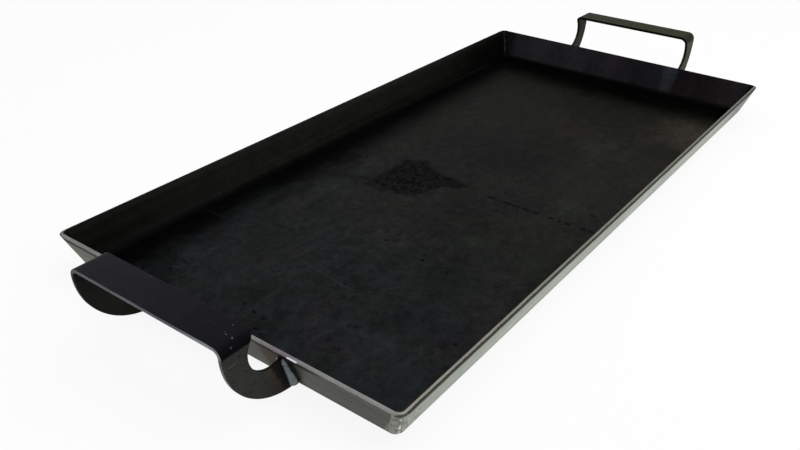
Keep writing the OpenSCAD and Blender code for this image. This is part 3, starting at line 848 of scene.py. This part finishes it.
def dressed_weld(looks, sheet):
    """Corner welds: season inside with a pale ground seam, bright grinding outside with a painted highlight down it."""
    r = SteelRecipe("dressed_weld")
    x, y, z = r.x, r.y, r.z
    patches = r.stir(60.0, 5.0, 0.62, 0.4)
    mottle = r.stir(150.0, 4.0, 0.68, 0.4)
    turn = (abs(x) - sheet.half_l) - (abs(y) - sheet.half_w)
    wander = r.stir(150.0, 3.0) * 0.0024
    seam = r.rise(abs(turn + wander), 0.0014, 0.0004) * r.rise(z, 0.008, 0.013) * r.rise(mottle, -0.15, 0.05)
    inside = r.tone(looks.season_side, 0.55 + patches * 0.9 + mottle * 0.6)
    inside = r.mix(seam * 0.36, inside, looks.seam)
    grind = r.noise(240.0, 4.0, 0.65, 0.8, at=r.stretch((1.0, 1.0, 0.35)))
    blot = r.noise(230.0, 4.0, 0.62, 0.6)
    outside = r.mix(r.rise(turn, 0.001, -0.002) * 0.5, looks.dressed, looks.side_wall_lit)
    outside = r.tone(outside, 0.12 + grind * 0.62 + r.rise(blot, 0.40, 0.60) * 0.64)
    # painted highlight: a bright line down the rounded outside of the corner
    bright = r.rise(abs(turn + 0.0012 + wander * 1.5), 0.0012, 0.0004) * r.rise(blot, 0.38, 0.55)
    gouge = r.rise(abs(turn + 0.0028 + wander * 1.6), 0.0009, 0.0003) * r.rise(blot, 0.45, 0.6)
    outside = r.mix(bright * r.rise(z, 0.032, 0.027) * 0.9, outside, looks.weld_highlight)
    outside = r.mix(gouge * 0.7, outside, looks.edge_shade_and_tear)
    outside = r.mix(r.rise(z, 0.004, 0.001) * 0.7, outside, looks.underside)
    black = r.rise(x, 0.0, 0.01) * r.rise(y, 0.0, 0.01)
    # how tall and dark the painted shade under the rim is: on the long-wall side of each corner and on the left corners
    edge_shade_amount = (r.rise(turn, 0.0075, 0.0045) * 0.90).most(r.rise(y, -0.01, 0.01) * 0.7)
    cream = r.rise(turn, 0.0060, 0.0015) * 0.8
    over, past, edge_shade_and_tear, face = cut_edge(r, looks, r.mark("run"), sheet.t, edge_shade_amount, cream, black)
    face = r.tone(face, 0.85 + r.rise(y, 0.0, 0.01) * 0.10)
    colour, metal = over_the_rim(r, looks, inside, outside, (over, past, edge_shade_and_tear, face), black)
    rough = (looks.season_rough + patches * 0.2) * (1 - over) + over * (0.30 + grind * 0.25)
    return r.finish(colour, rough, metal, FILM_GLOSS, [(blot * over, 0.0007, 0.35), (mottle, 0.00015, 0.30)])


def handle_steel(looks, sizes, sheet, end):
    """Handles: blued or olive grip, olive legs with die marks and painted shade on their inner faces, pale outer
    edges with a painted highlight along the front grip, painted shade on inner edges and in the folds, and heat
    tint at the wall. The rear handle is the paler one and less burnt."""
    r = SteelRecipe(f"handle_steel_{end}")
    x, y, z = r.x, r.y, r.z
    rear = 1 if end == "rear" else 0
    edge = r.mark("edge")
    clouds = r.stir(14.0, 4.0, 0.6, 0.5)
    patches = r.stir(70.0, 5.0, 0.65, 0.5)
    mottle = r.stir(260.0, 4.0, 0.68, 0.4)
    grain = r.stir(1100.0, 2.0, 0.6)
    lines = r.stir(300.0, 3.0, 0.6, at=r.stretch((1.0, 0.04, 1.0)))
    half, bend = sizes.handle_w / 2, sizes.grip_fold_r + sheet.t
    flat, leg_top = half - bend, sizes.grip_h - bend
    high = r.rise(z + mottle * 0.002, leg_top - 0.0012, leg_top + 0.0008)
    low = 1 - high

    rubbed = r.rise(y + clouds * 0.10, -0.04, 0.06)
    grip = looks.rear_grip if rear else r.mix(rubbed, looks.grip * 0.46, looks.grip)
    grip = r.mix(r.rise(r.noise(45.0, 4.0, 0.7), 0.60, 0.68) * 0.35, grip, looks.rust)
    # painted shade: the inner faces of the legs darkened, less on the rear handle
    inner_face_shade = r.rise(abs(y), half - sheet.t * 0.35, half - sheet.t * 0.65)
    leg = r.mix(inner_face_shade * (0.62 - rear * 0.37), looks.rear_leg if rear else looks.leg, looks.soot_and_shade)
    shade = 1 + clouds * 0.6 + patches * 0.8 + mottle * 0.5 + grain * 0.8 + lines * 0.3
    # painted shade: the folds between the grip and the legs darkened, less on the rear handle
    fold = r.rise(abs(y), flat + 0.0010, flat + 0.0055) * high * (1 - rear * 0.6)
    pits = r.rise(r.cells(150.0) + r.stir(420.0, 3.0) * 0.5, 0.24, 0.08) * r.rise(clouds, -0.05, 0.08) * low
    drag = r.noise(140.0, 3.0, 0.6, at=r.stretch((0.10, 1.0, 1.0)))
    drag = r.rise(drag, 0.56, 0.66) * low * r.rise(z, 0.030, 0.050)
    die = z + clouds * 0.004
    broken = r.rise(r.noise(95.0, 3.0, 0.6), 0.46, 0.56) * low
    groove = r.rise(abs(die - DIE_GROOVE_Z), 0.0008, 0.0002) * broken
    land = r.rise(abs(die - DIE_LAND_Z), 0.0012, 0.0003) * broken
    colour = r.tone(r.mix(high, leg, grip), shade * (1 - pits * 0.55) * (1 - fold * 0.62) * (1 - drag * 0.35))
    colour = r.tone(colour, (1 - groove * 0.60) * (1 + land * 0.70))
    chips = r.rise(r.dots(CHIPS) + r.stir(700.0, 2.0) * 1.6, 0.9, 0.4) * r.rise(z, 0.055, 0.060)
    nicks = r.rise(r.noise(210.0, 2.0, 0.5, at=r.stretch((0.25, 1.0, 0.06))), 0.69, 0.73) * r.rise(patches, 0.0, 0.1)
    colour = r.mix(chips * 0.28 + nicks * 0.05, colour, looks.chip)
    wall_gap = (abs(x) - sheet.foot_x) * math.sin(sheet.slope) - z * math.cos(sheet.slope)
    burnt = (wall_gap - 0.0032).most(0.0) + r.rise(z, 0.036, 0.044)
    colour = heat(r, looks, colour, burnt, 0.012, 0.7, 1 - rear * 0.5)

    ragged = r.stir(120.0, 4.0, 0.65) * 0.7
    bright = r.rise(edge + ragged, 0.30, 0.80) * r.rise(z + ragged * 0.02, 0.008, 0.052).most(0.15)
    # painted shade: the inner cut edges of the plate darkened
    inner_edge_shade = r.rise(ragged - edge, 0.25, 0.65)
    rim = 0.30 + r.noise(40.0, 4.0) * 0.9 + lines * 0.8 + mottle * 0.5
    if not rear:
        bright = bright * (1 - r.rise(y, 0.050, flat + 0.006) * r.rise(z, 0.066, 0.058) * 0.85)
        # painted highlight along the outer edge of the front grip, towards its right end
        rim = rim * (1 + r.rise(y, -0.025, -0.066) * high * 1.7)
    colour = r.mix(inner_edge_shade * 0.85, colour, looks.soot_and_shade)
    colour = r.mix(bright * 0.92, colour, r.tone(looks.plate_edge, rim))
    rough = 0.45 + patches * 0.3 + pits * 0.15 - bright * 0.06
    return r.finish(colour, rough, bright * 0.85 + chips * 0.4, HANDLE_GLOSS[end],
                    [(clouds, 0.0006, 0.10), (patches, 0.0003, 0.15), (mottle, 0.00015, 0.30)])


def raw_weld(looks):
    """Leg welds: silver-blue rippled metal, darker between the ripples and purple towards its ends."""
    r = SteelRecipe("raw_weld")
    ripple, z = r.mark("ripple"), r.z
    blot = r.stir(170.0, 4.0, 0.6, 0.5)
    mottle = r.stir(520.0, 3.0, 0.65)
    tip = r.rise(z, 0.007, 0.002).most(r.rise(z, 0.025, 0.030))
    toe = r.rise(ripple, 0.30, 0.02)
    colour = r.tone(looks.bead, 0.54 + ripple * 0.34 + blot + mottle * 0.6)
    colour = r.mix(tip * 0.5, colour, looks.bead_end)
    colour = r.mix(r.rise(blot, 0.05, 0.16) * 0.8, colour, looks.tint_burnt)
    colour = r.mix(toe * 0.7, colour, looks.tint_burnt)
    rough = 0.28 + (1 - ripple) * 0.25 + blot * 0.2
    return r.finish(colour, rough, 0.85, BEAD_GLOSS, [(blot, 0.0006, 0.25), (mottle, 0.00015, 0.3)])


def studio_floor(stage):
    """Floor: matt and pale; camera, glossy and transmitted rays see it nearly white, with its shading left in part."""
    r = Recipe(bpy.data.materials.new("studio_floor"))
    matt = r.node("ShaderNodeBsdfDiffuse", sockets={"Color": (*stage.floor, 1.0)})
    white = r.node("ShaderNodeEmission", sockets={"Strength": 1.0})
    blend = r.node("ShaderNodeMixShader", sockets={0: r.seen() * (1 - stage.shade), 1: matt, 2: white})
    r.node("ShaderNodeOutputMaterial", sockets={"Surface": blend})
    return r.owner


def studio_world(stage):
    """World: white to camera, glossy and transmitted rays, and a dimmer even fill for the light on the object."""
    r = Recipe(bpy.data.worlds.new("studio"))
    level = stage.fill + r.seen() * (1 - stage.fill)
    sky = r.node("ShaderNodeBackground", sockets={"Color": (1.0, 1.0, 1.0, 1.0), "Strength": level})
    r.node("ShaderNodeOutputWorld", sockets={"Surface": sky})
    return r.owner


# Operators

def settings():
    """The scene's sizes, finishes and stage."""
    scene = bpy.context.scene
    return scene.griddle_sizes, scene.griddle_finishes, scene.griddle_stage


def place_piece(piece, node, material):
    """A finished piece: it takes its material and stands for its solid."""
    piece.data.materials.append(material)
    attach(piece, "root")
    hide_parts(node)


class GRIDDLE_OT_pan(Operator):
    """Folded pan with its season, sheared rim and bare outside"""

    bl_idname = "griddle.pan"
    bl_label = "Pan"

    def execute(self, context):
        sizes, looks, _ = settings()
        sheet = FoldedSheet(sizes)
        piece = make_piece("pan_sheet", *pan_mesh(sheet))
        place_piece(piece, "pan", pan_steel(looks, sizes, sheet))
        return {"FINISHED"}


class GRIDDLE_OT_corner_welds(Operator):
    """Dressed welds that close the four corners"""

    bl_idname = "griddle.corner_welds"
    bl_label = "Corner welds"

    def execute(self, context):
        sizes, looks, _ = settings()
        sheet = FoldedSheet(sizes)
        material = dressed_weld(looks, sheet)
        for end, ex in ENDS.items():
            for side, sy in SIDES.items():
                piece = make_piece(f"corner_{end}_{side}", *corner_mesh(sheet, ex, sy))
                place_piece(piece, f"corner_weld_{end}_{side}", material)
        return {"FINISHED"}


class GRIDDLE_OT_handles(Operator):
    """Folded plate handles with hooked legs"""

    bl_idname = "griddle.handles"
    bl_label = "Handles"

    def execute(self, context):
        sizes, looks, _ = settings()
        sheet = FoldedSheet(sizes)
        for end, ex in ENDS.items():
            material = handle_steel(looks, sizes, sheet, end)
            piece = make_piece(f"handle_plate_{end}", *handle_mesh(sheet, sizes, ex), mark="edge")
            place_piece(piece, f"{end}_handle", material)
        return {"FINISHED"}


class GRIDDLE_OT_leg_welds(Operator):
    """Rippled weld beads on both faces of each leg"""

    bl_idname = "griddle.leg_welds"
    bl_label = "Leg welds"

    def execute(self, context):
        sizes, looks, _ = settings()
        sheet = FoldedSheet(sizes)
        material = raw_weld(looks)
        for end, ex in ENDS.items():
            for side, sy in SIDES.items():
                for face in ("outer", "inner"):
                    points = bead_mesh(sheet, sizes, ex, sy * ex, face == "outer")
                    piece = make_piece(f"bead_{end}_{side}_{face}", *points, mark="ripple")
                    place_piece(piece, f"{end}_{side}_leg_weld_{face}", material)
        return {"FINISHED"}


class GRIDDLE_OT_stage(Operator):
    """Pale floor, soft light and the camera"""

    bl_idname = "griddle.stage"
    bl_label = "Stage"

    def execute(self, context):
        _, _, stage = settings()
        scene = context.scene
        scene.view_settings.view_transform = "Standard"
        scene.world = studio_world(stage)
        half = FLOOR_SIZE / 2
        mesh = bpy.data.meshes.new("floor")
        mesh.from_pydata([(-half, -half, 0), (half, -half, 0), (half, half, 0), (-half, half, 0)], [], [(0, 1, 2, 3)])
        mesh.materials.append(studio_floor(stage))
        floor = bpy.data.objects.new("floor", mesh)
        scene.collection.objects.link(floor)
        for name, (place, size) in SOFTBOXES.items():
            self.hang_softbox(scene, f"{name}_softbox", Vector(place), size, getattr(stage, name))
        self.place_camera(scene, stage)
        return {"FINISHED"}

    @staticmethod
    def hang_softbox(scene, name, place, size, power):
        """A square lamp that faces the middle of the plate."""
        lamp = bpy.data.lights.new(name, "AREA")
        lamp.shape = "SQUARE"
        lamp.size = size
        lamp.energy = power
        box = bpy.data.objects.new(name, lamp)
        box.matrix_world = Matrix.Translation(place) @ (-place).to_track_quat("-Z", "Y").to_matrix().to_4x4()
        scene.collection.objects.link(box)

    @staticmethod
    def place_camera(scene, stage):
        """The camera, turned by the directions to the right and downwards in the picture."""
        camera = bpy.data.cameras.new("camera")
        camera.sensor_width = SENSOR_WIDTH
        camera.lens = stage.lens
        camera.shift_x = stage.shift
        camera.clip_start, camera.clip_end = CLIP
        right = Vector(stage.right).normalized()
        down = Vector(stage.down)
        up = -(down - right * down.dot(right)).normalized()
        turn = Matrix((right, up, right.cross(up))).transposed()
        eye = bpy.data.objects.new("camera", camera)
        eye.matrix_world = Matrix.Translation(Vector(stage.eye)) @ turn.to_4x4()
        scene.collection.objects.link(eye)
        scene.camera = eye


class GRIDDLE_PT_panel(Panel):
    """Lists the pieces of the griddle plate"""

    bl_idname = "GRIDDLE_PT_panel"
    bl_label = "Griddle plate"
    bl_space_type = "VIEW_3D"
    bl_region_type = "UI"
    bl_category = "Griddle"

    def draw(self, context):
        for operator in OPERATORS:
            self.layout.operator(operator.bl_idname)
        for group in settings():
            box = self.layout.box()
            for name in group.__annotations__:
                box.prop(group, name)


GROUPS = {"griddle_sizes": GriddleSizes, "griddle_finishes": GriddleFinishes, "griddle_stage": GriddleStage}
OPERATORS = (GRIDDLE_OT_pan, GRIDDLE_OT_corner_welds, GRIDDLE_OT_handles, GRIDDLE_OT_leg_welds, GRIDDLE_OT_stage)


def register():
    for cls in (*GROUPS.values(), *OPERATORS, GRIDDLE_PT_panel):
        bpy.utils.register_class(cls)
    for name, cls in GROUPS.items():
        setattr(bpy.types.Scene, name, PointerProperty(type=cls))


def unregister():
    for name in GROUPS:
        delattr(bpy.types.Scene, name)
    for cls in reversed((*GROUPS.values(), *OPERATORS, GRIDDLE_PT_panel)):
        bpy.utils.unregister_class(cls)


def main():
    register()
    bpy.ops.griddle.stage()
    bpy.ops.griddle.pan()
    bpy.ops.griddle.corner_welds()
    bpy.ops.griddle.handles()
    bpy.ops.griddle.leg_welds()


if __name__ == "__main__":
    main()
